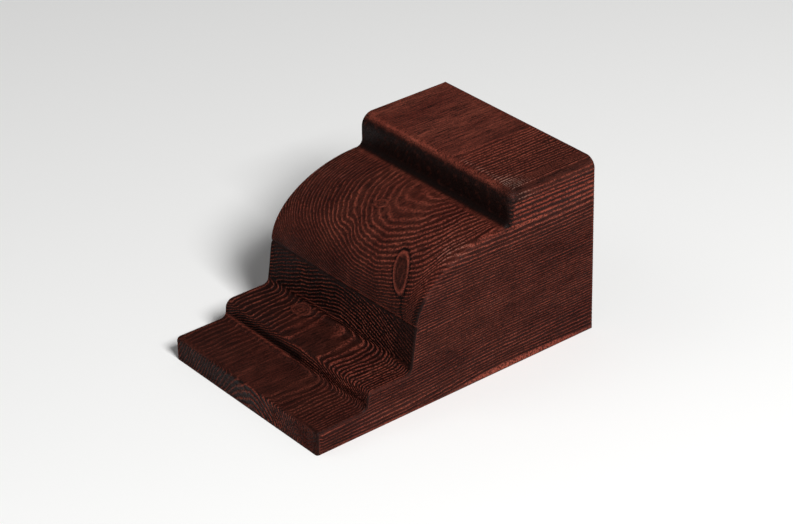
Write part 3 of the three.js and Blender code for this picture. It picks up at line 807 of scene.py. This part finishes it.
def stained_plain():
    """The same foam struck off flat in the mould and stained thinly.

    It is dull and blotchy in patches of about 55 mm, with the fine pits of a foam skin, drawn
    1.4 mm wide so that they show.
    """
    material, tree, surface = new_material("stained_flat_polyurethane")
    place = add(tree, "ShaderNodeTexCoord").outputs["Object"]
    cloud = add(tree, "ShaderNodeTexNoise", {"Vector": place, "Scale": 18.0, "Detail": 4.0}).outputs[0]
    pits = add(tree, "ShaderNodeTexNoise", {"Vector": place, "Scale": 700.0, "Detail": 1.0}).outputs[0]
    tone = add(tree, "ShaderNodeMapRange", {0: cloud, 1: 0.35, 2: 0.65}).outputs[0]
    colour = add(tree, "ShaderNodeMix", {0: tone, 6: linear("#341a14"), 7: linear("#4c2a20")},
                 data_type="RGBA").outputs[2]
    tree.links.new(colour, surface.inputs["Base Color"])
    surface.inputs["Roughness"].default_value = 0.68
    surface.inputs["Specular IOR Level"].default_value = 0.2
    bump = add(tree, "ShaderNodeBump", {"Height": pits, "Distance": 0.0004, "Strength": 0.4}).outputs[0]
    tree.links.new(bump, surface.inputs["Normal"])
    return material


# Corbel


def strike_off(mesh):
    """Keeps the mesh in the solid's box, and makes its wall face and the face below dead flat."""
    places = np.empty(len(mesh.vertices) * 3, dtype=np.float32)
    mesh.vertices.foreach_get("co", places)
    inside = np.clip(places.reshape(-1, 3), corner_low * MM, corner_high * MM)
    at_wall = inside[:, 1] > (corner_high[1] - STRUCK_OFF) * MM
    inside[at_wall, 1] = corner_high[1] * MM
    at_foot = inside[:, 2] < (corner_low[2] + STRUCK_OFF) * MM
    inside[at_foot, 2] = corner_low[2] * MM
    mesh.vertices.foreach_set("co", inside.astype(np.float32).ravel())
    mesh.update()


def make_corbel():
    source = bpy.data.objects.new("corbel_skin_source", make_mesh("corbel_skin_source"))
    bpy.context.scene.collection.objects.link(source)
    tree = brushed_grain_tree()
    grain = source.modifiers.new("grain", "NODES")
    grain.node_group = tree
    plain_finish = stained_plain()
    values = {
        "Ring depth": RING_DEPTH * MM, "Ring sharpness": RING_SHARPNESS, "Fibre depth": FIBRE_DEPTH * MM,
        "Fibre width": FIBRE_WIDTH * MM, "Seed": GRAIN_SEED, "Grain finish": stained_grain(),
        "Plain finish": plain_finish,
    }
    for item in tree.interface.items_tree:
        if item.in_out == "INPUT" and item.name in values:
            grain[item.identifier] = values[item.name]
    thin = source.modifiers.new("thin", "DECIMATE")
    triangles = sum(len(face.vertices) - 2 for face in source.data.polygons)
    thin.ratio = min(1.0, MOST_TRIANGLES / triangles)
    finished = bpy.data.meshes.new_from_object(source.evaluated_get(bpy.context.evaluated_depsgraph_get()))
    bpy.data.objects.remove(source)
    strike_off(finished)
    corbel = bpy.data.objects.new("corbel_skin", finished)
    bpy.context.scene.collection.objects.link(corbel)
    return corbel


corbel = make_corbel()
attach(corbel, "root")
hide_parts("corbel")


# Floor, lights and camera, in metres and watts

FLOOR_REACH, FLOOR_GAP = 6.0, 0.0002
LIGHT_AIM = (0.0, -0.14, 0.0)
WORLD_STRENGTH = 0.12

# The photograph's viewing angle in degrees, the aim to the right of and above the foot of the wall
# face as the camera sees it, its distance, and its focal length in pixels of the photograph's width
CAMERA_TURN, CAMERA_LIFT, CAMERA_ROLL = 51.642, 30.022, -1.494
AIM_RIGHT, AIM_UP = -0.10521, 0.01982
CAMERA_DISTANCE = 2.23965
FOCAL_PIXELS, PHOTO_WIDTH = 2572.84, 793.0
SENSOR_WIDTH = 36.0


def make_floor():
    body = bmesh.new()
    bmesh.ops.create_grid(body, x_segments=1, y_segments=1, size=FLOOR_REACH)
    bmesh.ops.translate(body, verts=body.verts, vec=(0.0, 0.0, solid_box[0][2] - FLOOR_GAP))
    mesh = bpy.data.meshes.new("floor")
    body.to_mesh(mesh)
    body.free()
    floor = bpy.data.objects.new("floor", mesh)
    bpy.context.scene.collection.objects.link(floor)
    material, _, surface = new_material("pale_floor_paint")
    surface.inputs["Base Color"].default_value = linear("#f6f6f5")
    surface.inputs["Roughness"].default_value = 0.9
    surface.inputs["Specular IOR Level"].default_value = 0.1
    mesh.materials.append(material)


def make_light(name, place, size, power):
    """A square soft light that points at the corbel."""
    lamp = bpy.data.lights.new(name, "AREA")
    lamp.shape = "SQUARE"
    lamp.size, lamp.energy = size, power
    light = bpy.data.objects.new(name, lamp)
    light.location = place
    light.rotation_euler = (Vector(LIGHT_AIM) - Vector(place)).to_track_quat("-Z", "Y").to_euler()
    bpy.context.scene.collection.objects.link(light)


def make_camera():
    """The photograph's view: from far off, right of the front and about 30 degrees above it."""
    turn, lift, roll = (math.radians(angle) for angle in (CAMERA_TURN, CAMERA_LIFT, CAMERA_ROLL))
    back = Vector((math.sin(turn) * math.cos(lift), -math.cos(turn) * math.cos(lift), math.sin(lift)))
    level_right = Vector((math.cos(turn), math.sin(turn), 0.0))
    level_up = back.cross(level_right)
    right = level_right * math.cos(roll) + level_up * math.sin(roll)
    up = -level_right * math.sin(roll) + level_up * math.cos(roll)
    target = right * AIM_RIGHT + up * AIM_UP - Vector((0.0, 0.0, HEIGHT / 2.0 * MM))
    camera_data = bpy.data.cameras.new("camera")
    camera_data.sensor_width = SENSOR_WIDTH
    camera_data.lens = SENSOR_WIDTH * FOCAL_PIXELS / PHOTO_WIDTH
    camera = bpy.data.objects.new("camera", camera_data)
    camera.matrix_world = Matrix((
        (right.x, up.x, back.x, 0.0),
        (right.y, up.y, back.y, 0.0),
        (right.z, up.z, back.z, 0.0),
        (0.0, 0.0, 0.0, 1.0),
    ))
    camera.location = target + back * CAMERA_DISTANCE
    bpy.context.scene.collection.objects.link(camera)
    bpy.context.scene.camera = camera


def make_world():
    world = bpy.data.worlds.new("studio")
    world.use_nodes = True
    background = world.node_tree.nodes["Background"]
    background.inputs["Color"].default_value = linear("#ffffff")
    background.inputs["Strength"].default_value = WORLD_STRENGTH
    bpy.context.scene.world = world
    bpy.context.scene.view_settings.view_transform = "Standard"


make_floor()
make_light("key", place=(3.0, -0.7, 2.72), size=1.2, power=212.0)
make_light("fill", place=(-1.8, -2.6, 3.0), size=2.4, power=14.0)
make_camera()
make_world()
